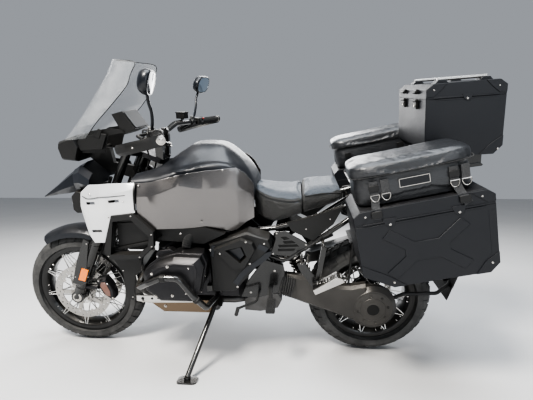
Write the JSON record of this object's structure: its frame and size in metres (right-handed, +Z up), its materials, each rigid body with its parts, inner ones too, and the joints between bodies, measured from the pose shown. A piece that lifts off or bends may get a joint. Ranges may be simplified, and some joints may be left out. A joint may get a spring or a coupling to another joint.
{
  "type": "adventure motorcycle",
  "caption": "Touring motorcycle leaning on its side stand, with flat twin engine, spoked wheels, screen, side cases, roll bags and top case; wheels, steering, stand and lids move.",
  "frame": {"origin": "bottom centre of the parked machine's box, on the floor", "axes": "+X forward, +Y to the machine's left, +Z up; the machine leans to +Y on its stand"},
  "size_m": [2.3206, 1.1204, 1.5127],
  "materials": {
    "painted_panel": "metallic grey paint with a warm cast, clear coated",
    "white_panel": "light silver paint on plastic",
    "black_plastic": "grained black plastic",
    "satin_black": "satin black moulded plastic",
    "engine_metal": "dark grey coated castings",
    "frame_black": "gloss black powder coat",
    "aluminium_plate": "brushed aluminium sheet",
    "case_black": "black powder coated aluminium sheet",
    "bag_cloth": "glossy black tarpaulin",
    "seat_cover": "grained dark grey seat cover",
    "tyre_rubber": "dusty tyre rubber",
    "rim_black": "black coated rim, steel spokes",
    "disc_steel": "ground steel disc",
    "chrome_tube": "stainless pipe",
    "clear_screen": "clear acrylic",
    "lamp_glass": "clear lamp cover",
    "red_lens": "red lamp lens",
    "grip_rubber": "black rubber"
  },
  "bodies": {
    "chassis": {"engine_block": "engine_metal", "cylinders": "engine_metal", "engine_bars": "frame_black", "skid_plate": "aluminium_plate", "exhaust": "chrome_tube", "main_frame": "frame_black", "rear_frame": "frame_black", "front_suspension": "frame_black", "swing_arm": "engine_metal", "rear_shock": "frame_black", "rear_fender": "black_plastic", "plate_holder": "black_plastic", "rider_seat": "seat_cover", "pillion_seat": "seat_cover", "tank_cover": "satin_black", "tank_panels": "painted_panel", "front_panels": "white_panel", "radiator_ducts": "black_plastic", "radiators": "black_plastic", "beak": "satin_black", "headlight": "lamp_glass", "windshield": "clear_screen", "cockpit": "black_plastic", "side_covers": "black_plastic", "left_case": "case_black", "right_case": "case_black", "top_case": "case_black", "case_racks": "frame_black", "rear_rack": "frame_black", "rider_footrests": "grip_rubber", "pillion_footrests": "aluminium_plate", "tail_lamp": "red_lens"},
    "steering": {"fork_legs": "frame_black", "fork_bridges": "engine_metal", "handlebar": "frame_black", "grips": "grip_rubber", "bar_controls": "black_plastic", "hand_guards": "black_plastic", "mirrors": "satin_black", "front_fender": "satin_black", "brake_calipers": "engine_metal"},
    "front_wheel": {"front_tyre": "tyre_rubber", "front_wheel": "rim_black", "front_discs": "disc_steel"},
    "rear_wheel": {"rear_tyre": "tyre_rubber", "rear_wheel": "rim_black", "rear_disc": "disc_steel"},
    "side_stand": {"side_stand": "frame_black"},
    "left_lid": {"left_case_lid": "case_black", "left_bag": "bag_cloth"},
    "right_lid": {"right_case_lid": "case_black", "right_bag": "bag_cloth"},
    "top_lid": {"top_case_lid": "case_black"}
  },
  "joints": [
    {"name": "steering", "type": "hinge", "parent": "chassis", "child": "steering", "pos_m": [0.42026, 0.01566, 1.05774], "axis": [-0.4415, 0.1999, 0.8747], "range_deg": [-33, 33]},
    {"name": "front_wheel_turn", "type": "hinge", "parent": "steering", "child": "front_wheel", "pos_m": [0.83535, -0.15328, 0.31834], "axis": [0, 0.9749, -0.2227], "continuous": true},
    {"name": "rear_wheel_turn", "type": "hinge", "parent": "chassis", "child": "rear_wheel", "pos_m": [-0.69865, -0.15469, 0.31215], "axis": [0, 0.9749, -0.2227], "continuous": true},
    {"name": "side_stand_fold", "type": "hinge", "parent": "chassis", "child": "side_stand", "pos_m": [0.08135, 0.02041, 0.28836], "axis": [0.1755, 0.7718, 0.6112], "range_deg": [0, 92]},
    {"name": "left_lid_hinge", "type": "hinge", "parent": "chassis", "child": "left_lid", "pos_m": [-0.53869, -0.03365, 0.8419], "axis": [0, 0.9749, -0.2227], "range_deg": [0, 80]},
    {"name": "right_lid_hinge", "type": "hinge", "parent": "chassis", "child": "right_lid", "pos_m": [-0.53869, -0.03365, 0.8419], "axis": [0, 0.9749, -0.2227], "range_deg": [0, 80]},
    {"name": "top_lid_hinge", "type": "hinge", "parent": "chassis", "child": "top_lid", "pos_m": [-0.83866, 0.0662, 1.27892], "axis": [0, 0.9749, -0.2227], "range_deg": [0, 85]}
  ]
}
